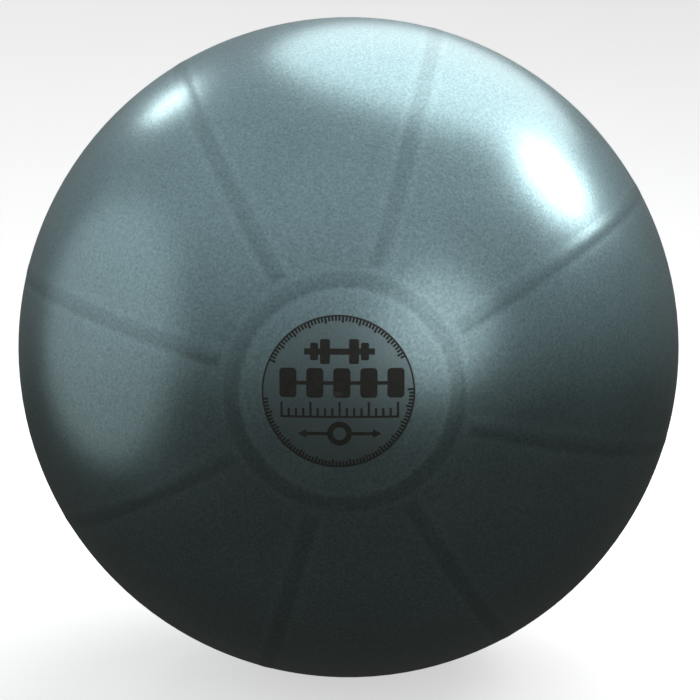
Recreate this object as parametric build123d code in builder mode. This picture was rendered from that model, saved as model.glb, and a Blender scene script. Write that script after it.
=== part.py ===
from build123d import *

import os
from math import cos, degrees, radians, sin, sqrt

# Burst-resistant exercise ball, 650 mm across.
#
# The ball is a hollow bladder of soft PVC. Its polar axis lies along Y: the labelled pole faces the
# front (-Y) and the valve sits at the far pole (+Y). Eight low ribs run from pole to pole, and a low
# ring circles each pole. The origin is the ball's centre, +Z is up, all sizes are in millimetres.

# ---------------------------------------------------------------- driving sizes
# skin
ball_diameter = 650.0
skin_wall = 1.0

# moulded relief
rib_count = 8
rib_first_turn = 15.0      # degrees clockwise from the top, seen from the labelled side
rib_width = 20.0
rib_height = 0.3
ring_radius = 94.0         # from the pole to the middle of the ring, along the skin
ring_width = 15.0
ring_height = 0.3
rib_to_ring = 3.5          # plain skin between a rib's end and the ring

# label
label_radius = 63.0
label_left = 5.2           # how far the label sits off the pole, seen from the front
label_up = 2.6
artwork_radius = 63.0      # the label's radius that the marks below are drawn for
film_thickness = 0.2
ink_thickness = 0.15
edge_line_inset = 0.6
edge_line_width = 1.2
edge_tick_length = 4.8
edge_tick_width = 1.7
edge_tick_turn = 2.75       # degrees from one tick to the next
edge_tick_short = 0.72     # share of the full length, for the four ticks between long ones
edge_tick_arcs = ((-65, 62), (88, 265))    # degrees clockwise from the top

barbell_width = 57.0
barbell_height = 20.0
barbell_bar = 5.0
barbell_plate = 8.0
barbell_inner_place = 2.1  # plate widths from the bar's end to the middle of the large plate
barbell_small_width = 0.8  # shares of the large plate's width and height
barbell_small_height = 0.7
barbell_corner = 1.6
barbell_small_corner = 1.4
load_bar_width = 101.0
load_bar_height = 24.0
load_bar_blocks = 5
load_bar_gap = 8.0
load_bar_link = 3.0
load_bar_corner = 3.0
ruler_width = 96.0
ruler_height = 13.0
ruler_line = 1.8
ruler_steps = 16
ruler_short = 0.62         # share of the full height, for the marks between long ones
size_ring_diameter = 20.0
size_ring_line = 4.6
size_arrow_length = 24.0
size_arrow_height = 7.0
size_arrow_line = 2.6
stroke_overlap = 0.2       # how far one stroke of a mark runs into the next
# where each mark's middle lies on the label, right and up from the label's own middle
barbell_place = (1.1, 32.8)
load_bar_place = (3.0, 7.5)
ruler_place = (1.2, -14.5)
size_place = (1.1, -34.0)

# valve
seat_depth = 3.0           # from the skin's outside to the flange face, on the axis
flange_overlap = 7.0       # how far the flange reaches under the skin round the pocket
flange_thickness = 1.8
pad_margin = 4.0           # thickened skin beyond the flange
tube_wall = 3.3
tube_length = 24.0         # from the flange face inwards
tube_root_fillet = 1.2
flange_rim_fillet = 0.8
tube_end_chamfer = 0.6
bore_radius = 4.2
bore_lead_in = 0.6
mouth_chamfer = 0.4

# plug
head_radius = 10.0
head_thickness = 2.6
head_side_gap = 1.0        # room for a puller's fork round the head
head_seat_gap = 0.05
head_dimple_radius = 3.0
head_dimple_depth = 0.5
stem_length = 20.0
stem_slide_gap = 0.05      # radial gap between the stem's ridges and the bore
ridge_height = 0.45
ridge_length = 1.8
ridge_count = 3
ridge_pitch = 5.0
ridge_start = 3.5
tip_length = 3.0
tip_radius = 2.4

# ---------------------------------------------------------------- worked-out sizes
ball_radius = ball_diameter / 2
inner_radius = ball_radius - skin_wall
ring_inner_turn = degrees((ring_radius - ring_width / 2) / ball_radius)
ring_outer_turn = degrees((ring_radius + ring_width / 2) / ball_radius)
rib_start_turn = ring_outer_turn + degrees(rib_to_ring / ball_radius)
flange_face = ball_radius - seat_depth
head_pocket_radius = head_radius + head_side_gap
flange_radius = head_pocket_radius + flange_overlap
pad_radius = flange_radius + pad_margin
tube_radius = bore_radius + tube_wall
label_turn = degrees(label_radius / ball_radius)
artwork_scale = label_radius / artwork_radius
film_top = ball_radius + film_thickness
ink_top = film_top + ink_thickness
ridge_radius = bore_radius - stem_slide_gap
stem_radius = ridge_radius - ridge_height


def meridian_point(radius, turn):
    """A point of the polar half-section, at a turn in degrees from the labelled pole."""
    return (radius * sin(radians(turn)), -radius * cos(radians(turn)))


def meridian_arc(radius, turn_from, turn_to):
    """An arc about the ball's centre in the polar half-section."""
    middle = (turn_from + turn_to) / 2
    return ThreePointArc(
        meridian_point(radius, turn_from),
        meridian_point(radius, middle),
        meridian_point(radius, turn_to),
    )


def relief_arc(height, turn_from, turn_to):
    """The convex back of a ring, which starts and ends on the plain skin."""
    return ThreePointArc(
        meridian_point(ball_radius, turn_from),
        meridian_point(ball_radius + height, (turn_from + turn_to) / 2),
        meridian_point(ball_radius, turn_to),
    )


def height_on_sphere(radius, off_axis):
    """How far along the axis a sphere lies at a distance from the axis."""
    return sqrt(radius**2 - off_axis**2)


# ---------------------------------------------------------------- one rib
# A rib is a shallow lens with its edges sunk in the skin. It is turned about the ball's centre, so
# its width stays the same from one ring to the other.
rib_half = rib_width / 2
rib_crest = ball_radius + rib_height
rib_rise = rib_crest - height_on_sphere(ball_radius, rib_half)
rib_back_radius = (rib_half**2 + rib_rise**2) / (2 * rib_rise)
rib_side = rib_half + 1.5
rib_side_height = rib_crest - rib_back_radius + height_on_sphere(rib_back_radius, rib_side)
rib_foot = height_on_sphere(ball_radius, rib_side) - skin_wall / 2
rib_plane = Plane(
    origin=(0, 0, 0),
    x_dir=(1, 0, 0),
    z_dir=(0, -sin(radians(rib_start_turn)), -cos(radians(rib_start_turn))),
)

with BuildPart() as one_rib:
    with BuildSketch(rib_plane):
        with BuildLine():
            ThreePointArc((-rib_side, rib_side_height), (0, rib_crest), (rib_side, rib_side_height))
            Polyline(
                (rib_side, rib_side_height),
                (rib_side, rib_foot),
                (-rib_side, rib_foot),
                (-rib_side, rib_side_height),
            )
        make_face()
    revolve(axis=Axis.X, revolution_arc=-(180 - 2 * rib_start_turn))

# ---------------------------------------------------------------- ball shell
# The skin is one revolved half-section with its two rings. At the valve it is thicker and flat
# inside, where the seat's flange is bonded, and it is open over the plug's head.
pad_inner_rim = height_on_sphere(inner_radius, pad_radius)
pocket_rim = height_on_sphere(ball_radius, head_pocket_radius + mouth_chamfer)
mouth_turn = 180 - degrees((head_pocket_radius + mouth_chamfer) / ball_radius)
rib_turns = [rib_first_turn + 360 / rib_count * n for n in range(rib_count)]

with BuildPart() as ball_shell:
    with BuildSketch(Plane.XY):
        with BuildLine():
            meridian_arc(ball_radius, 0, ring_inner_turn)
            relief_arc(ring_height, ring_inner_turn, ring_outer_turn)
            meridian_arc(ball_radius, ring_outer_turn, 180 - ring_outer_turn)
            relief_arc(ring_height, 180 - ring_outer_turn, 180 - ring_inner_turn)
            before_mouth = meridian_arc(ball_radius, 180 - ring_inner_turn, mouth_turn)
            mouth = before_mouth @ 1
            Polyline(
                mouth,
                (head_pocket_radius, mouth.Y - mouth_chamfer),
                (head_pocket_radius, flange_face),
                (pad_radius, flange_face),
                (pad_radius, pad_inner_rim),
            )
            ThreePointArc(
                (pad_radius, pad_inner_rim),
                (inner_radius, 0),
                (0, -inner_radius),
            )
            Line((0, -inner_radius), (0, -ball_radius))
        make_face()
    revolve(axis=Axis.Y)
    with Locations(*[Rotation(0, turn, 0) for turn in rib_turns]):
        add(one_rib.part)
ball_shell.part.label = "ball_shell"

# ---------------------------------------------------------------- valve seat
# A soft tube with a flange, bonded to the flat inside of the thickened skin. The plug's stem
# slides in its bore.
flange_back = flange_face - flange_thickness
tube_end = flange_face - tube_length

with BuildPart() as valve_seat:
    with BuildSketch(Plane.XY):
        with BuildLine():
            Polyline(
                (bore_radius + bore_lead_in, flange_face),
                (flange_radius, flange_face),
                (flange_radius, flange_back),
                (tube_radius, flange_back),
                (tube_radius, tube_end),
                (bore_radius, tube_end),
                (bore_radius, flange_face - bore_lead_in),
                (bore_radius + bore_lead_in, flange_face),
            )
        make_face()
    revolve(axis=Axis.Y)
    tube_root = valve_seat.edges().filter_by(GeomType.CIRCLE).filter_by_position(
        Axis.Y, flange_back - 0.01, flange_back + 0.01
    ).sort_by(SortBy.RADIUS)[0]
    fillet(tube_root, radius=tube_root_fillet)
    flange_rim = valve_seat.edges().filter_by(GeomType.CIRCLE).filter_by_position(
        Axis.Y, flange_back - 0.01, flange_back + 0.01
    ).sort_by(SortBy.RADIUS)[-1]
    fillet(flange_rim, radius=flange_rim_fillet)
    tube_mouths = valve_seat.edges().filter_by(GeomType.CIRCLE).filter_by_position(
        Axis.Y, tube_end - 0.01, tube_end + 0.01
    )
    chamfer(tube_mouths, length=tube_end_chamfer)
valve_seat.part.label = "valve_seat"

# ---------------------------------------------------------------- valve plug
# A mushroom stopper. Its head fills the pocket in the skin, domed like the ball, and ring ridges on
# the stem hold it in the bore.
head_underside = flange_face + head_seat_gap
head_crest = head_underside + head_thickness
stem_end = head_underside - stem_length
tip_start = stem_end + tip_length

with BuildPart() as valve_plug:
    with BuildSketch(Plane.XY):
        with BuildLine():
            dome = ThreePointArc(
                (0, head_crest),
                (head_radius / 2, head_crest - ball_radius + height_on_sphere(ball_radius, head_radius / 2)),
                (head_radius, head_crest - ball_radius + height_on_sphere(ball_radius, head_radius)),
            )
            Polyline(
                dome @ 1,
                (head_radius, head_underside),
                (stem_radius, head_underside),
                (stem_radius, tip_start),
                (tip_radius, stem_end),
                (0, stem_end),
                (0, head_crest),
            )
        make_face()
    revolve(axis=Axis.Y)
    for ridge in range(ridge_count):
        ridge_middle = head_underside - ridge_start - ridge_pitch * ridge
        with BuildSketch(Plane.XY):
            with BuildLine():
                ridge_back = ThreePointArc(
                    (stem_radius, ridge_middle + ridge_length / 2),
                    (ridge_radius, ridge_middle),
                    (stem_radius, ridge_middle - ridge_length / 2),
                )
                Polyline(
                    ridge_back @ 1,
                    (stem_radius / 2, ridge_middle - ridge_length / 2),
                    (stem_radius / 2, ridge_middle + ridge_length / 2),
                    ridge_back @ 0,
                )
            make_face()
        revolve(axis=Axis.Y)
    with BuildSketch(Plane.XY):
        with BuildLine():
            dimple = ThreePointArc(
                (0, head_crest - head_dimple_depth),
                (head_dimple_radius * 0.7, head_crest - head_dimple_depth * 0.5),
                (head_dimple_radius, head_crest + head_dimple_depth * 0.1),
            )
            Polyline(dimple @ 1, (0, head_crest + head_dimple_depth), (0, head_crest - head_dimple_depth))
        make_face()
    revolve(axis=Axis.Y, mode=Mode.SUBTRACT)
    head_rims = valve_plug.edges().filter_by(GeomType.CIRCLE).filter_by(
        lambda edge: abs(edge.radius - head_radius) < 0.01
    )
    fillet(head_rims, radius=0.6)
valve_plug.part.label = "valve_plug"

# ---------------------------------------------------------------- label
# The label has its own frame: its axis leaves the ball through the middle of the label, a little
# off the pole.
left_turn = label_left / ball_radius
up_turn = label_up / ball_radius
label_plane = Plane(
    origin=(0, 0, 0),
    x_dir=(cos(left_turn), -sin(left_turn), 0),
    z_dir=(-sin(left_turn) * cos(up_turn), -cos(left_turn) * cos(up_turn), sin(up_turn)),
)
label_section = Plane(
    origin=(0, 0, 0), x_dir=label_plane.x_dir, z_dir=label_plane.y_dir * -1
)
label_axis = Axis((0, 0, 0), label_plane.z_dir)
label_front = label_plane.offset(ball_radius + 2)


def skin_layer(inside, outside, turn):
    """The half-section of a thin round layer that lies on the skin round the label's axis."""
    inner = ThreePointArc(
        (0, inside),
        (inside * sin(radians(turn / 2)), inside * cos(radians(turn / 2))),
        (inside * sin(radians(turn)), inside * cos(radians(turn))),
    )
    outer = ThreePointArc(
        (outside * sin(radians(turn)), outside * cos(radians(turn))),
        (outside * sin(radians(turn / 2)), outside * cos(radians(turn / 2))),
        (0, outside),
    )
    Line(inner @ 1, outer @ 0)
    Line(outer @ 1, inner @ 0)


with BuildPart() as label_film:
    with BuildSketch(label_section):
        with BuildLine():
            skin_layer(ball_radius, film_top, label_turn)
        make_face()
    revolve(axis=label_axis)
label_film.part.label = "label_film"

# Every mark is drawn flat in front of the label and cut through the same thin layer of ink.
ink_depth = -(ball_radius + 2 - height_on_sphere(ball_radius, label_radius) + 2)

with BuildPart() as print_edge_scale:
    with BuildSketch(label_section):
        with BuildLine():
            skin_layer(film_top, ink_top, label_turn)
        make_face()
    revolve(axis=label_axis)
    edge_outside = artwork_radius * sin(radians(label_turn)) / radians(label_turn) - edge_line_inset
    edge_inside = edge_outside - edge_line_width
    with BuildSketch(label_front):
        Circle(edge_outside)
        Circle(edge_inside, mode=Mode.SUBTRACT)
        for arc_from, arc_to in edge_tick_arcs:
            ticks = int((arc_to - arc_from) / edge_tick_turn)
            for tick in range(ticks + 1):
                turn = arc_from + edge_tick_turn * tick
                reach = edge_tick_length * (1 if tick % 5 == 0 else edge_tick_short)
                middle = edge_inside + stroke_overlap - reach / 2
                spot = (middle * sin(radians(turn)), middle * cos(radians(turn)))
                with Locations(Location(spot, -turn)):
                    Rectangle(edge_tick_width, reach + 2 * stroke_overlap)
        scale(by=artwork_scale)
    extrude(amount=ink_depth, mode=Mode.INTERSECT)
print_edge_scale.part.label = "print_edge_scale"

with BuildPart() as print_barbell:
    with BuildSketch(label_section):
        with BuildLine():
            skin_layer(film_top, ink_top, label_turn)
        make_face()
    revolve(axis=label_axis)
    with BuildSketch(label_front):
        with Locations(barbell_place):
            Rectangle(barbell_width, barbell_bar)
            for side in (-1, 1):
                inner_plate = side * (barbell_width / 2 - barbell_plate * barbell_inner_place)
                outer_plate = side * (barbell_width / 2 - barbell_plate)
                with Locations((inner_plate, 0)):
                    RectangleRounded(barbell_plate, barbell_height, barbell_corner)
                with Locations((outer_plate, 0)):
                    RectangleRounded(
                        barbell_plate * barbell_small_width,
                        barbell_height * barbell_small_height,
                        barbell_small_corner,
                    )
        scale(by=artwork_scale)
    extrude(amount=ink_depth, mode=Mode.INTERSECT)
print_barbell.part.label = "print_barbell"

with BuildPart() as print_load_bar:
    with BuildSketch(label_section):
        with BuildLine():
            skin_layer(film_top, ink_top, label_turn)
        make_face()
    revolve(axis=label_axis)
    block_width = (load_bar_width - load_bar_gap * (load_bar_blocks - 1)) / load_bar_blocks
    with BuildSketch(label_front):
        with Locations(load_bar_place):
            Rectangle(load_bar_width - block_width, load_bar_link)
            with GridLocations(block_width + load_bar_gap, 1, load_bar_blocks, 1):
                RectangleRounded(block_width, load_bar_height, load_bar_corner)
        scale(by=artwork_scale)
    extrude(amount=ink_depth, mode=Mode.INTERSECT)
print_load_bar.part.label = "print_load_bar"

with BuildPart() as print_ruler:
    with BuildSketch(label_section):
        with BuildLine():
            skin_layer(film_top, ink_top, label_turn)
        make_face()
    revolve(axis=label_axis)
    ruler_pitch = (ruler_width - ruler_line) / ruler_steps
    with BuildSketch(label_front):
        with Locations((ruler_place[0], ruler_place[1] - (ruler_height - ruler_line) / 2)):
            Rectangle(ruler_width, ruler_line)
        for step in range(ruler_steps + 1):
            mark_height = ruler_height * (1 if step % 4 == 0 else ruler_short)
            along = ruler_place[0] - (ruler_width - ruler_line) / 2 + ruler_pitch * step
            foot = ruler_place[1] - ruler_height / 2
            with Locations((along, foot + mark_height / 2)):
                Rectangle(ruler_line, mark_height)
        scale(by=artwork_scale)
    extrude(amount=ink_depth, mode=Mode.INTERSECT)
print_ruler.part.label = "print_ruler"

with BuildPart() as print_ball_size:
    with BuildSketch(label_section):
        with BuildLine():
            skin_layer(film_top, ink_top, label_turn)
        make_face()
    revolve(axis=label_axis)
    ring_half = size_ring_diameter / 2
    arrow_tip = ring_half + size_arrow_length
    arrow_neck = arrow_tip - size_arrow_height
    with BuildSketch(label_front):
        with Locations(size_place):
            Circle(ring_half)
            Circle(ring_half - size_ring_line, mode=Mode.SUBTRACT)
            for side in (-1, 1):
                shaft_middle = side * (ring_half - size_ring_line / 2 + arrow_neck) / 2
                shaft_length = arrow_neck - ring_half + size_ring_line / 2
                with Locations((shaft_middle, 0)):
                    Rectangle(shaft_length + 2 * stroke_overlap, size_arrow_line)
                Polygon(
                    (side * arrow_tip, 0),
                    (side * arrow_neck, size_arrow_height / 2),
                    (side * arrow_neck, -size_arrow_height / 2),
                    align=None,
                )
        scale(by=artwork_scale)
    extrude(amount=ink_depth, mode=Mode.INTERSECT)
print_ball_size.part.label = "print_ball_size"

# ---------------------------------------------------------------- one file for each piece
os.makedirs("parts", exist_ok=True)
for piece in (
    ball_shell,
    valve_seat,
    valve_plug,
    label_film,
    print_edge_scale,
    print_barbell,
    print_load_bar,
    print_ruler,
    print_ball_size,
):
    export_step(piece.part, f"parts/{piece.part.label}.step")
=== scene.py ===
# %% [markdown]
# # A burst-resistant exercise ball
# The ball is one blown skin of soft PVC, 650 mm across. A low ring is moulded round each pole and eight
# low ribs run from ring to ring. The front pole carries a round printed label, the back pole the valve.
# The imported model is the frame: every piece below is in metres, in its axes, and rides on one of its bodies.

import bpy
import numpy as np
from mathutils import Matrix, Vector


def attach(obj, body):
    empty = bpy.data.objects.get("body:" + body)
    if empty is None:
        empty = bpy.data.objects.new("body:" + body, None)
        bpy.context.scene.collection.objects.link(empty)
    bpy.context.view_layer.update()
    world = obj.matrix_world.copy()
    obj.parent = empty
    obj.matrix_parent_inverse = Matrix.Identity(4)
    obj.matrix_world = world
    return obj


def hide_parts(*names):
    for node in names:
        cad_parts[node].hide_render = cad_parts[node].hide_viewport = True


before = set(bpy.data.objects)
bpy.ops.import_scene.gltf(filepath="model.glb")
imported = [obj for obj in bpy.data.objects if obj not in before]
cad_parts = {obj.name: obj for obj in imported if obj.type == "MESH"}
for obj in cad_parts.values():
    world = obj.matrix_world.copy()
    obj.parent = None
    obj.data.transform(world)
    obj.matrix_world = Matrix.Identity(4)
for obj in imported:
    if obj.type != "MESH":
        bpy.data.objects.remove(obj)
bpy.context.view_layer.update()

# %% [markdown]
# ## The ball's own sizes
# These are the moulder's sizes, in metres. The relief is measured along the skin from the pole, because
# that is how a mould maker sets it out.

# %% Sizes of the skin and its relief
MM = 0.001
BALL_RADIUS = 325 * MM
SKIN_WALL = 1.0 * MM
RIB_COUNT = 8
RIB_FIRST_TURN = 15.0
RIB_HALF_WIDTH = 10 * MM
RIB_HEIGHT = 0.3 * MM
RING_RADIUS = 94 * MM
RING_HALF_WIDTH = 7.5 * MM
# The imported ring stands 0.3 mm high. It is drawn lower here, as its painted shade shows far more than its
# step.
RING_HEIGHT = 0.12 * MM
RIB_START = RING_RADIUS + RING_HALF_WIDTH + 3.5 * MM
RIB_CORNER = 4 * MM


# %% [markdown]
# ## Where the relief lies
# A point of the skin is named by its direction from the centre. Two distances say where it stands in the
# relief: how far it is outside the ring's edge, and how far outside the nearest rib's edge. They are
# negative inside. Height and shade both follow from them, so that they can't drift apart.

# %% Distances to the ring and to the ribs
rib_turns = np.radians(RIB_FIRST_TURN + 360 / RIB_COUNT * np.arange(RIB_COUNT))
rib_sideways = np.stack([np.cos(rib_turns), 0 * rib_turns, -np.sin(rib_turns)], axis=1)
rib_outwards = np.stack([np.sin(rib_turns), 0 * rib_turns, np.cos(rib_turns)], axis=1)


def along_skin(direction):
    """The distance along the skin from the nearer pole."""
    return BALL_RADIUS * np.arccos(np.clip(np.abs(direction[..., 1]), 0, 1))


def outside_ring(direction):
    return np.abs(along_skin(direction) - RING_RADIUS) - RING_HALF_WIDTH


def outside_rib(direction):
    """The distance outside the nearest rib's outline, a long strip with rounded corners."""
    sideways = BALL_RADIUS * np.arcsin(np.clip(direction @ rib_sideways.T, -1, 1))
    nearest = np.argmax(direction @ rib_outwards.T, axis=-1)
    sideways = np.take_along_axis(sideways, nearest[..., None], axis=-1)[..., 0]
    beside = np.abs(sideways) - RIB_HALF_WIDTH + RIB_CORNER
    before = RIB_START - along_skin(direction) + RIB_CORNER
    corner = np.hypot(np.maximum(beside, 0), np.maximum(before, 0))
    return corner + np.minimum(np.maximum(beside, before), 0) - RIB_CORNER


print("ribs at", np.round(np.degrees(rib_turns)).tolist(), "degrees from the top")


# %% [markdown]
# ## Height of the relief
# PVC that runs into a groove of the mould sets with a soft round back, so ring and ribs rise and fall as
# half a cosine wave does, with no edge anywhere.

# %% Height of the skin over the plain ball
def soft_back(outside, half_width, height):
    inwards = np.clip(-outside / half_width, 0, 1)
    return height * (0.5 - 0.5 * np.cos(np.pi * inwards))


def relief_height(direction):
    ring = soft_back(outside_ring(direction), RING_HALF_WIDTH, RING_HEIGHT)
    rib = soft_back(outside_rib(direction), RIB_HALF_WIDTH, RIB_HEIGHT)
    return np.maximum(ring, rib)


# %% [markdown]
# ## Painted shade and highlight of the relief
# In the middle of the ring and of each rib the skin's colour is darkened, a painted shade. Just beside them a
# pale line is painted along each edge, a painted highlight. The number made here is 1 where the painted shade
# is deepest and -1 where the painted highlight is palest, and the material reads it.

# %% Painted shade and highlight of the skin along the relief
def step_up(value, low, high):
    t = np.clip((value - low) / (high - low), 0, 1)
    return t * t * (3 - 2 * t)


def relief_painted_shading(direction):
    ring, rib = outside_ring(direction), outside_rib(direction)
    # Painted shade in the cores of the ring and ribs, painted highlight along their edges.
    core = np.maximum(step_up(-ring, -0.5 * MM, 3 * MM), step_up(-rib, 2 * MM, 5 * MM))
    ring_painted_highlight = np.exp(-(((ring - 2.2 * MM) / (2.2 * MM)) ** 2))
    rib_painted_highlight = np.exp(-(((rib - 1.0 * MM) / (2.2 * MM)) ** 2))
    return core - np.maximum(ring_painted_highlight, rib_painted_highlight) * (1 - core)


# %% [markdown]
# Inside the front ring the mould was blasted again, to key the skin for printing. That pad is a little rougher
# than the rest and is painted paler, a painted brightening for the light its matt finish catches. The number
# here is 1 on it.

# %% Printing pad
def label_pad(direction):
    inside = RING_RADIUS - RING_HALF_WIDTH - along_skin(direction)
    return step_up(inside, -2 * MM, 2 * MM) * (direction[..., 1] < 0)


# %% [markdown]
# ## The skin's mesh
# The mesh is a grid of rows, circles about the polar axis, and columns from pole to pole. Beside a rib the
# columns keep a fixed distance from it, so that they follow its straight edges, and between ribs they
# spread. The rows are close at the rings. The far end of the grid turns in through the valve's mouth and
# comes back along the inside, so the skin is one closed shell with a real wall.

# %% Columns of the skin
RIB_BAND = 14.5 * MM
BAND_STEPS = 18
OPEN_STEPS = 11
OPEN_FIRST = 0.2

band_offsets = np.linspace(-RIB_BAND, RIB_BAND, BAND_STEPS + 1)
open_rise = np.arange(1, OPEN_STEPS + 1) / OPEN_STEPS
open_share = OPEN_FIRST * open_rise + (1 - OPEN_FIRST) * open_rise**2
half_sector = np.pi / RIB_COUNT


def column_turns(row_radius):
    """The columns' turns from the top, for a row this far from the polar axis."""
    narrowest = BALL_RADIUS * np.sin(RIB_START / BALL_RADIUS)
    reach = max(row_radius, narrowest)
    band = np.arcsin(band_offsets / reach)
    after = band[-1] + (half_sector - band[-1]) * open_share
    before = -after[::-1][1:]
    one_sector = np.concatenate([before, band, after])
    return np.concatenate([turn + one_sector for turn in rib_turns])


print("columns", len(column_turns(BALL_RADIUS)))

# %% Rows of the skin, as turns from the labelled pole
ring_in = np.degrees((RING_RADIUS - RING_HALF_WIDTH) / BALL_RADIUS)
rib_in = np.degrees(RIB_START / BALL_RADIUS)
front_rows = np.concatenate(
    [
        np.linspace(0.5, ring_in - 1.5, 10)[:-1],
        np.arange(ring_in - 1.5, rib_in + 2.4, 0.25),
        np.linspace(rib_in + 2.5, 90, 36),
    ]
)
MOUTH_TURN = 180 - np.degrees(11.4 * MM / BALL_RADIUS)
back_rows = 180 - front_rows[:-1][::-1]
back_rows = back_rows[back_rows < MOUTH_TURN - 1.2]
mouth_rows = np.linspace(back_rows[-1], MOUTH_TURN, 8)[1:]
outer_rows = np.radians(np.concatenate([front_rows, back_rows, mouth_rows]))
print("outer rows", len(outer_rows))

# %% [markdown]
# ## The valve's mouth and the inside
# The plug's head sits in a pocket in the thickened skin. The rows below go down the pocket's wall, out
# along the flat that the valve's flange is bonded to, and back along the inside to the front pole. Each is
# a radius from the axis and a place along it.

# %% Rows through the mouth and along the inside
POCKET_RADIUS = 11 * MM
FLANGE_FACE = BALL_RADIUS - 3 * MM
PAD_RADIUS = 22 * MM
inner_radius = BALL_RADIUS - SKIN_WALL
mouth_edge = BALL_RADIUS * np.cos(11.4 * MM / BALL_RADIUS)
mouth_round = [
    (POCKET_RADIUS + 0.4 * MM * (1 - np.sin(a)), mouth_edge - 0.4 * MM * (1 - np.cos(a)))
    for a in np.radians([30, 60, 90])
]
pocket_wall = [(POCKET_RADIUS, FLANGE_FACE + d * MM) for d in (1.5, 0.6, 0)]
pad_flat = [(r * MM, FLANGE_FACE) for r in (14, 18)] + [(PAD_RADIUS, FLANGE_FACE)]
pad_side = [(PAD_RADIUS, np.sqrt(inner_radius**2 - PAD_RADIUS**2))]
inner_turns = np.radians(np.concatenate([[175], np.arange(170, 5, -5), [4, 1.5]]))
inside = [(inner_radius * np.sin(t), -inner_radius * np.cos(t)) for t in inner_turns]
inner_rows = mouth_round + pocket_wall + pad_flat + pad_side + inside
print("inner rows", len(inner_rows))


# %% Points and true normals of the outside
def skin_direction(row_turn, columns):
    ring = np.sin(row_turn)
    x, z = ring * np.sin(columns), ring * np.cos(columns)
    return np.stack([x, np.full_like(columns, -np.cos(row_turn)), z], axis=-1)


def skin_points(direction):
    return direction * (BALL_RADIUS + relief_height(direction))[..., None]


def skin_normals(direction, step=2e-4):
    """The slope of the true surface, found by stepping a little to two sides of each point."""
    across = np.cross(direction, [0.0, 1.0, 0.0])
    across /= np.linalg.norm(across, axis=-1, keepdims=True)
    down = np.cross(direction, across)
    sides = []
    for way in (across, down):
        ahead, behind = direction + step * way, direction - step * way
        ahead /= np.linalg.norm(ahead, axis=-1, keepdims=True)
        behind /= np.linalg.norm(behind, axis=-1, keepdims=True)
        sides.append(skin_points(ahead) - skin_points(behind))
    normal = np.cross(sides[1], sides[0])
    normal /= np.linalg.norm(normal, axis=-1, keepdims=True)
    facing = np.sign(np.sum(normal * direction, axis=-1, keepdims=True))
    return normal * facing


def closed_grid(rows, columns, first_pole, last_pole):
    """Faces of a closed grid: rows of points with a pole point before the first and after the last."""
    faces = []
    for c in range(columns):
        n = (c + 1) % columns
        faces.append((first_pole, n, c))
        faces.append((last_pole, (rows - 1) * columns + c, (rows - 1) * columns + n))
    for r in range(rows - 1):
        a, b = r * columns, (r + 1) * columns
        for c in range(columns):
            n = (c + 1) % columns
            faces.append((a + c, a + n, b + n, b + c))
    return faces


# %% Make the skin
def make_skin():
    directions = [skin_direction(t, column_turns(BALL_RADIUS * np.sin(t))) for t in outer_rows]
    directions = np.stack(directions)
    count = directions.shape[1]
    outside = skin_points(directions).reshape(-1, 3)
    columns = column_turns(0)
    through = [
        np.stack([r * np.sin(columns), np.full(count, y), r * np.cos(columns)], axis=-1)
        for r, y in inner_rows
    ]
    through = np.concatenate(through)
    poles = np.array([[0, -BALL_RADIUS, 0], [0, -inner_radius, 0]])
    points = np.concatenate([outside, through, poles])
    rows = len(outer_rows) + len(inner_rows)
    faces = closed_grid(rows, count, len(points) - 2, len(points) - 1)
    mesh = bpy.data.meshes.new("ball_skin")
    mesh.from_pydata(points.tolist(), [], faces)
    mesh.shade_smooth()
    # The relief's painted shade and highlight go to the material as an attribute.
    shade = np.zeros(len(points), np.float32)
    shade[: len(outside)] = relief_painted_shading(directions).reshape(-1)
    mesh.attributes.new("relief_painted_shading", "FLOAT", "POINT").data.foreach_set("value", shade)
    pad = np.zeros(len(points), np.float32)
    pad[: len(outside)] = label_pad(directions).reshape(-1)
    mesh.attributes.new("label_pad", "FLOAT", "POINT").data.foreach_set("value", pad)
    flat = np.zeros(len(points) * 3, np.float32)
    mesh.vertices.foreach_get("normal", flat)
    normals = flat.reshape(-1, 3)
    normals[: len(outside)] = skin_normals(directions).reshape(-1, 3)
    normals[-2] = (0, -1, 0)
    mesh.normals_split_custom_set_from_vertices(normals.tolist())
    return bpy.data.objects.new("ball_skin", mesh)


ball_skin = make_skin()
bpy.context.collection.objects.link(ball_skin)
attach(ball_skin, "ball")
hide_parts("ball_shell")
print("skin faces", len(ball_skin.data.polygons))

# %% [markdown]
# ## The label patch
# The label is printed on a round patch of smooth varnish, a little off the pole, as such labels are when
# the ball is turned by hand in the printing jig. It is a thin disc that follows the skin, with a soft edge
# where the varnish drew back as it dried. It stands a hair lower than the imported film, so that the ink, which
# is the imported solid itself, lies clear on top of it everywhere.

# %% Place and size of the patch
LABEL_RADIUS = 63 * MM
LABEL_LEFT = 5.2 * MM
LABEL_UP = 2.6 * MM
LIFT = 0.16 * MM
SUNK = 0.1 * MM
left, up = LABEL_LEFT / BALL_RADIUS, LABEL_UP / BALL_RADIUS
label_out = np.array([-np.sin(left) * np.cos(up), -np.cos(left) * np.cos(up), np.sin(up)])
label_right = np.array([np.cos(left), -np.sin(left), 0.0])
label_top = np.cross(label_out, label_right)


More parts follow.
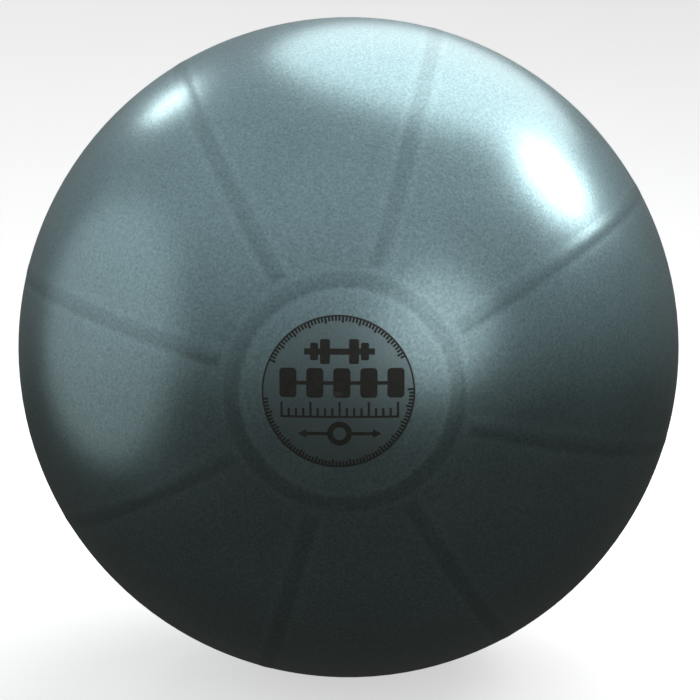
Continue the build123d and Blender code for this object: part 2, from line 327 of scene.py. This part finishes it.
# %% Make the patch
def make_patch():
    edge = LABEL_RADIUS
    radii = list(np.linspace(0, edge - 0.6 * MM, 26)[1:]) + [edge - 0.3 * MM, edge - 0.1 * MM, edge]
    lifts = [LIFT] * 25 + [LIFT * 0.93, LIFT * 0.7, LIFT * 0.2]
    radii += [edge, edge - 0.6 * MM, edge / 2]
    lifts += [-SUNK] * 3
    around = np.radians(np.arange(0, 360, 2.5))
    points = []
    for radius, lift in zip(radii, lifts, strict=True):
        turn = radius / BALL_RADIUS
        flat = np.outer(np.sin(around), label_right) + np.outer(np.cos(around), label_top)
        points.append((np.cos(turn) * label_out + np.sin(turn) * flat) * (BALL_RADIUS + lift))
    middles = np.stack([label_out * (BALL_RADIUS + LIFT), label_out * (BALL_RADIUS - SUNK)])
    points = np.concatenate(points + [middles])
    faces = closed_grid(len(radii), len(around), len(points) - 2, len(points) - 1)
    mesh = bpy.data.meshes.new("label_patch")
    mesh.from_pydata(points.tolist(), [], faces)
    mesh.shade_smooth()
    return bpy.data.objects.new("label_patch", mesh)


label_patch = make_patch()
bpy.context.collection.objects.link(label_patch)
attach(label_patch, "ball")
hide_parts("label_film")
print("patch faces", len(label_patch.data.polygons))


# %% [markdown]
# ## Colours and nodes
# Colours are written as the hex values a maker would quote, and one function turns them to the linear
# numbers that Blender wants. One more function adds a node with its settings and links.

# %% Helpers for materials
def colour(hex_code):
    parts = [int(hex_code[i : i + 2], 16) / 255 for i in (1, 3, 5)]
    return [p / 12.92 if p <= 0.04045 else ((p + 0.055) / 1.055) ** 2.4 for p in parts] + [1.0]


def node(tree, kind, settings=None, **links):
    """A new node. settings are its own options; links are its inputs, each a value or another's output."""
    made = tree.nodes.new(kind)
    for name, value in (settings or {}).items():
        setattr(made, name, value)
    for name, value in links.items():
        socket = made.inputs[int(name[1:])] if name[1:].isdigit() else made.inputs[name.replace("_", " ")]
        if isinstance(value, bpy.types.NodeSocket):
            tree.links.new(value, socket)
        else:
            socket.default_value = value
    return made


def blank_material(name):
    material = bpy.data.materials.new(name)
    material.use_nodes = True
    material.node_tree.nodes.clear()
    return material, material.node_tree


# %% [markdown]
# ## The skin's PVC
# The skin is soft PVC with a pearl pigment, blown in a mould whose steel was blasted. The pigment's flakes
# lie along the skin and mirror the light as brushed metal does, so the surface is mostly metallic, with the
# blue grey of the flakes as its colour and a satin roughness. The blasted steel leaves a grain of 2 to 3 mm
# with a finer one on it, and the flakes gather in clouds a hand wide. Gym floors leave short dull scuffs.

# Inside the ring the pad is painted paler, a painted brightening, and is a little rougher; a rib's core carries
# painted shade and its lips a painted highlight.

# %% Satin pearl PVC
FLAKE_COLOUR = "#A0BEC5"
FLAKE_SHARE = 0.94
SATIN = 0.29
GRAIN = 2.4 * MM
FINE_GRAIN = 0.9 * MM
CLOUDS = 90 * MM
SCUFF_LENGTH = 45 * MM
GRAIN_DEPTH = 0.045 * MM
MOTTLE = 0.21
# Painted shade darkens the relief's cores and painted highlight pales their edges.
RELIEF_PAINTED_SHADE = 0.13
RELIEF_PAINTED_HIGHLIGHT = 0.06
# The pad's colour is painted paler, a painted brightening; its roughness is real.
PAD_PAINTED_BRIGHTENING = 1.12
PAD_SATIN = 0.33
PVC_IOR = 1.53


def object_place(tree):
    return node(tree, "ShaderNodeTexCoord").outputs["Object"]


def spread(tree, value, low, high, to_low, to_high):
    """A value between low and high, carried over to another range and held inside it."""
    ends = {"From_Min": low, "From_Max": high, "To_Min": to_low, "To_Max": to_high}
    return node(tree, "ShaderNodeMapRange", None, Value=value, **ends).outputs[0]


def sums(tree, operation, first, second):
    return node(tree, "ShaderNodeMath", {"operation": operation}, i0=first, i1=second).outputs[0]


def noise(tree, place, size, detail=2.0, rough=0.5):
    grades = {"Scale": 1 / size, "Detail": detail, "Roughness": rough}
    return node(tree, "ShaderNodeTexNoise", None, Vector=place, **grades).outputs[0]


def scuff_marks(tree, place):
    """Short dull strokes where the ball rubbed along a floor: 1 on a stroke, 0 elsewhere."""
    turned = node(tree, "ShaderNodeMapping", None, Vector=place, Rotation=(0.4, 0.7, 0.2), Scale=(1, 14, 14))
    strokes = noise(tree, turned.outputs[0], SCUFF_LENGTH, 3.0)
    patches = noise(tree, place, 140 * MM)
    strokes = spread(tree, strokes, 0.66, 0.74, 0.0, 1.0)
    return sums(tree, "MULTIPLY", strokes, spread(tree, patches, 0.52, 0.64, 0.0, 1.0))


def pearl_pvc(name, flakes, satin, grain_depth, mottle, relief=True):
    """Pearl PVC: colour from grain and clouds, with painted shade and highlight along the relief and a painted
    brightening on the pad; roughness from the pad, grain, clouds and scuffs; and a bump from the grain.
    """
    material, tree = blank_material(name)
    place = object_place(tree)
    grain = noise(tree, place, GRAIN, 3.0, 0.6)
    fine = noise(tree, place, FINE_GRAIN)
    clouds = noise(tree, place, CLOUDS, 3.0)
    scuffs = scuff_marks(tree, place)
    light = spread(tree, clouds, 0.3, 0.7, 0.96, 1.04)
    satin_here = satin
    for pattern, depth in ((grain, mottle), (fine, 0.6 * mottle)):
        light = sums(tree, "MULTIPLY", light, spread(tree, pattern, 0.3, 0.7, 1 - depth, 1 + depth))
    if relief:
        # Painted shade in the relief's cores and painted highlight along their edges.
        shade = node(tree, "ShaderNodeAttribute", {"attribute_name": "relief_painted_shading"}).outputs["Fac"]
        painted_shade = spread(tree, shade, 0, 1, 1.0, 1 - RELIEF_PAINTED_SHADE)
        thin_ink_and_painted_highlight = spread(tree, shade, -1, 0, 1 + RELIEF_PAINTED_HIGHLIGHT, 1.0)
        light = sums(tree, "MULTIPLY", light, sums(tree, "MULTIPLY", painted_shade, thin_ink_and_painted_highlight))
        pad = node(tree, "ShaderNodeAttribute", {"attribute_name": "label_pad"}).outputs["Fac"]
        # Painted brightening on the pad.
        light = sums(tree, "MULTIPLY", light, spread(tree, pad, 0, 1, 1.0, PAD_PAINTED_BRIGHTENING))
        satin_here = spread(tree, pad, 0, 1, satin, PAD_SATIN)
    base = node(tree, "ShaderNodeVectorMath", {"operation": "SCALE"}, i0=colour(flakes)[:3], Scale=light)
    rough = sums(tree, "ADD", satin_here, spread(tree, clouds, 0.3, 0.7, -0.02, 0.02))
    rough = sums(tree, "ADD", rough, spread(tree, fine, 0.3, 0.7, -0.02, 0.02))
    rough = sums(tree, "ADD", rough, spread(tree, scuffs, 0, 1, 0.0, 0.12))
    height = sums(tree, "ADD", grain, sums(tree, "MULTIPLY", fine, 0.4))
    bump = node(tree, "ShaderNodeBump", None, Strength=1.0, Distance=grain_depth, Height=height)
    surface = node(
        tree,
        "ShaderNodeBsdfPrincipled",
        None,
        Base_Color=base.outputs[0],
        Metallic=FLAKE_SHARE,
        Roughness=rough,
        IOR=PVC_IOR,
        Normal=bump.outputs[0],
    )
    node(tree, "ShaderNodeOutputMaterial", None, Surface=surface.outputs[0])
    return material


skin_pvc = pearl_pvc("pearl_pvc_blasted_mould", FLAKE_COLOUR, SATIN, GRAIN_DEPTH, MOTTLE)
ball_skin.data.materials.append(skin_pvc)
print("skin: satin", SATIN, "flake share", FLAKE_SHARE)

# %% [markdown]
# ## The label's varnish
# The patch is a matt grey varnish laid over the same skin. It filled most of the grain, so it is evener and a
# shade darker, but its matting agent spreads the light more widely than the bare skin does.

# %% Screen-printed varnish
VARNISH_COLOUR = "#97AEB3"
VARNISH_ROUGH = 0.38
VARNISH_GRAIN_DEPTH = 0.015 * MM
VARNISH_MOTTLE = 0.08
varnish = pearl_pvc(
    "screen_varnish_on_pvc", VARNISH_COLOUR, VARNISH_ROUGH, VARNISH_GRAIN_DEPTH, VARNISH_MOTTLE, relief=False
)
label_patch.data.materials.append(varnish)
print("varnish: roughness", VARNISH_ROUGH)

# %% [markdown]
# ## The ink
# The marks are one pass of dark vinyl ink through a screen. The ink is matt, and thin enough for the weave
# of the screen and a few pinholes to show. The weave is drawn at 0.6 mm, coarser than the real 0.1 mm, so
# that it can be seen at all.

# %% Dark screen ink
INK = "#3D3D39"
INK_THIN = "#4A4B48"


def screen_ink():
    material, tree = blank_material("vinyl_screen_ink")
    place = object_place(tree)
    weave = noise(tree, place, 0.6 * MM)
    worn = noise(tree, place, 7 * MM, 4.0, 0.7)
    thin_ink_and_painted_highlight = spread(tree, worn, 0.45, 0.75, 0.0, 1.0)
    base = node(tree, "ShaderNodeMix", {"data_type": "RGBA"}, i0=thin_ink_and_painted_highlight, i6=colour(INK), i7=colour(INK_THIN))
    rough = spread(tree, worn, 0.3, 0.7, 0.42, 0.56)
    bump = node(tree, "ShaderNodeBump", None, Strength=0.6, Distance=0.03 * MM, Height=weave)
    surface = node(
        tree,
        "ShaderNodeBsdfPrincipled",
        None,
        Base_Color=base.outputs[2],
        Roughness=rough,
        IOR=1.5,
        Metallic=0.25,
        Normal=bump.outputs[0],
    )
    node(tree, "ShaderNodeOutputMaterial", None, Surface=surface.outputs[0])
    return material


ink = screen_ink()

# %% [markdown]
# ## The valve
# The valve's seat is a softer grey PVC, dull from the welding wax, and the plug is hard white polyethylene
# that has yellowed a little and holds fine scratches from the puller.

# %% Valve plastics
def moulded_plastic(name, pale, dull, rough_low, rough_high, ior):
    material, tree = blank_material(name)
    place = object_place(tree)
    stain = noise(tree, place, 8 * MM, 4.0, 0.6)
    grain = noise(tree, place, 0.5 * MM)
    turned = node(tree, "ShaderNodeMapping", None, Vector=place, Rotation=(0.3, 0.2, 0.9), Scale=(1, 20, 20))
    scratch = spread(tree, noise(tree, turned.outputs[0], 9 * MM, 2.0), 0.68, 0.74, 0.0, 1.0)
    mixed = spread(tree, stain, 0.35, 0.7, 0.0, 1.0)
    base = node(tree, "ShaderNodeMix", {"data_type": "RGBA"}, i0=mixed, i6=colour(pale), i7=colour(dull))
    rough = spread(tree, stain, 0.3, 0.7, rough_low, rough_high)
    rough = sums(tree, "ADD", rough, spread(tree, scratch, 0, 1, 0, 0.15))
    height = sums(tree, "SUBTRACT", sums(tree, "MULTIPLY", grain, 0.3), scratch)
    bump = node(tree, "ShaderNodeBump", None, Strength=0.5, Distance=0.02 * MM, Height=height)
    surface = node(
        tree,
        "ShaderNodeBsdfPrincipled",
        None,
        Base_Color=base.outputs[2],
        Roughness=rough,
        IOR=ior,
        Subsurface_Weight=0.08,
        Subsurface_Radius=(0.002, 0.0018, 0.0016),
        Subsurface_Scale=0.5,
        Normal=bump.outputs[0],
    )
    node(tree, "ShaderNodeOutputMaterial", None, Surface=surface.outputs[0])
    return material


seat_pvc = moulded_plastic("soft_pvc_injection_moulded", "#7B8487", "#6B7376", 0.42, 0.55, 1.53)
plug_pe = moulded_plastic("polyethylene_injection_moulded", "#E6E4DA", "#D6D2C2", 0.34, 0.46, 1.51)

# %% Give the carried CAD pieces their materials
PRINTS = [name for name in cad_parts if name.startswith("print_")]
CARRIED = {"valve_seat": seat_pvc, "valve_plug": plug_pe, **dict.fromkeys(PRINTS, ink)}
for name, material in CARRIED.items():
    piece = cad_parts[name]
    piece.data.materials.clear()
    piece.data.materials.append(material)
print("carried pieces", {name: material.name for name, material in CARRIED.items()})

# %% [markdown]
# ## The camera
# The camera stands five ball radii off, a little above the ball's middle, looking at it. From so near the
# ball shows less than half of itself, which is why the ribs bend as they do.

# %% Camera
CAMERA_AWAY = 5 * BALL_RADIUS
CAMERA_RISE = np.radians(6.87)
CAMERA_SIDE = np.radians(0.57)
camera_data = bpy.data.cameras.new("camera")
camera_data.sensor_width = 36
camera_data.lens = 83.2
camera_data.shift_x = 0.002057
camera_data.shift_y = -0.003986
camera = bpy.data.objects.new("camera", camera_data)
bpy.context.collection.objects.link(camera)
bpy.context.scene.camera = camera
level = np.cos(CAMERA_RISE)
towards_camera = Vector((np.sin(CAMERA_SIDE) * level, -np.cos(CAMERA_SIDE) * level, np.sin(CAMERA_RISE)))
camera.location = CAMERA_AWAY * towards_camera
camera.rotation_euler = (-towards_camera).to_track_quat("-Z", "Y").to_euler()
print("camera at", np.round(camera.location, 3).tolist())

# %% [markdown]
# ## Floor and light
# The ball rests on a plain pale floor that curves up into a wall all round it, as in a photographer's cove.
# The cove is shown to the camera only, so that it neither brightens the ball's dark underside nor shades it.

# %% Cove
FLOOR_REACH = 2.6
COVE_CURVE = 1.2
COVE_WALL = 3.0
COVE_GLOW = 0.62


def make_cove():
    bend = np.radians(np.linspace(0, 90, 19))
    profile = [(0.02, 0.0), (0.5, 0.0), (1.5, 0.0)]
    profile += [(FLOOR_REACH + COVE_CURVE * np.sin(a), COVE_CURVE * (1 - np.cos(a))) for a in bend]
    profile += [(FLOOR_REACH + COVE_CURVE, COVE_WALL)]
    around = np.radians(np.arange(0, 360, 5))
    points, faces = [], []
    for radius, lift in profile:
        points += [(radius * np.cos(a), radius * np.sin(a), lift - BALL_RADIUS) for a in around]
    count = len(around)
    for r in range(len(profile) - 1):
        for c in range(count):
            n = (c + 1) % count
            faces.append((r * count + c, r * count + n, (r + 1) * count + n, (r + 1) * count + c))
    faces.append(tuple(reversed(range(count))))
    mesh = bpy.data.meshes.new("cove")
    mesh.from_pydata(points, [], faces)
    mesh.shade_smooth()
    return bpy.data.objects.new("cove", mesh)


cove = make_cove()
bpy.context.collection.objects.link(cove)
for ray in ("diffuse", "glossy", "transmission", "volume_scatter", "shadow"):
    setattr(cove, "visible_" + ray, False)

paper, tree = blank_material("matt_painted_cove")
paint = noise(tree, object_place(tree), 0.4)
PALE, PALER = colour("#F4F4F3"), colour("#F7F7F7")
tone = node(tree, "ShaderNodeMix", {"data_type": "RGBA"}, i0=paint, i6=PALE, i7=PALER)
chalk = node(tree, "ShaderNodeBsdfDiffuse", None, Color=tone.outputs[2])
glow = node(tree, "ShaderNodeEmission", None, Color=tone.outputs[2], Strength=COVE_GLOW)
both = node(tree, "ShaderNodeAddShader", None, i0=chalk.outputs[0], i1=glow.outputs[0])
node(tree, "ShaderNodeOutputMaterial", None, Surface=both.outputs[0])
cove.data.materials.append(paper)
print("cove reaches", FLOOR_REACH + COVE_CURVE, "m")

# %% [markdown]
# The light is a plain soft studio: one key softbox high on the right, a large one overhead behind the ball, a
# weak fill on the left and in front, a small lamp high at the back left, and a plain grey room that is
# lighter above than below. All of it is near white. Each row is one lamp: its name, its turn about the ball,
# 0 in front and 90 on the right, its height, its size in metres and its power in watts.

# %% Lamps
LAMP_AWAY = 2.5
LAMPS = [
    ("key", 100, 38, 1.0, 12),
    ("overhead", 150, 58, 2.8, 26),
    ("left_fill", -85, 5, 3.0, 7),
    ("front_fill", 28, 12, 1.5, 4),
    ("back_left", -134, 42, 0.45, 2.5),
]
LAMP_WHITE = "#FFFDFA"

for name, turn, height, size, power in LAMPS:
    turn, height = np.radians(turn), np.radians(height)
    towards = Vector((np.sin(turn) * np.cos(height), -np.cos(turn) * np.cos(height), np.sin(height)))
    lamp_data = bpy.data.lights.new(name, "AREA")
    lamp_data.shape = "DISK"
    lamp_data.size = size
    lamp_data.energy = power
    lamp_data.color = colour(LAMP_WHITE)[:3]
    lamp = bpy.data.objects.new(name, lamp_data)
    lamp.location = LAMP_AWAY * towards
    lamp.rotation_euler = (-towards).to_track_quat("-Z", "Y").to_euler()
    lamp.visible_camera = False
    bpy.context.collection.objects.link(lamp)
print("lamps", [row[0] for row in LAMPS])

# %% The grey room
ROOM_ABOVE = "#ABAFB0"
ROOM_BELOW = "#383531"


def grey_room():
    world = bpy.data.worlds.new("grey_room")
    world.use_nodes = True
    tree = world.node_tree
    tree.nodes.clear()
    look = node(tree, "ShaderNodeTexCoord").outputs["Generated"]
    up = node(tree, "ShaderNodeSeparateXYZ", None, Vector=look).outputs["Z"]
    rise = spread(tree, up, -0.2, 0.7, 0.0, 1.0)
    shades = {"i6": colour(ROOM_BELOW), "i7": colour(ROOM_ABOVE)}
    tone = node(tree, "ShaderNodeMix", {"data_type": "RGBA"}, i0=rise, **shades)
    room = node(tree, "ShaderNodeBackground", None, Color=tone.outputs[2], Strength=1.0)
    node(tree, "ShaderNodeOutputWorld", None, Surface=room.outputs[0])
    return world


bpy.context.scene.world = grey_room()
bpy.context.scene.view_settings.view_transform = "Standard"
print("room from", ROOM_BELOW, "up to", ROOM_ABOVE)
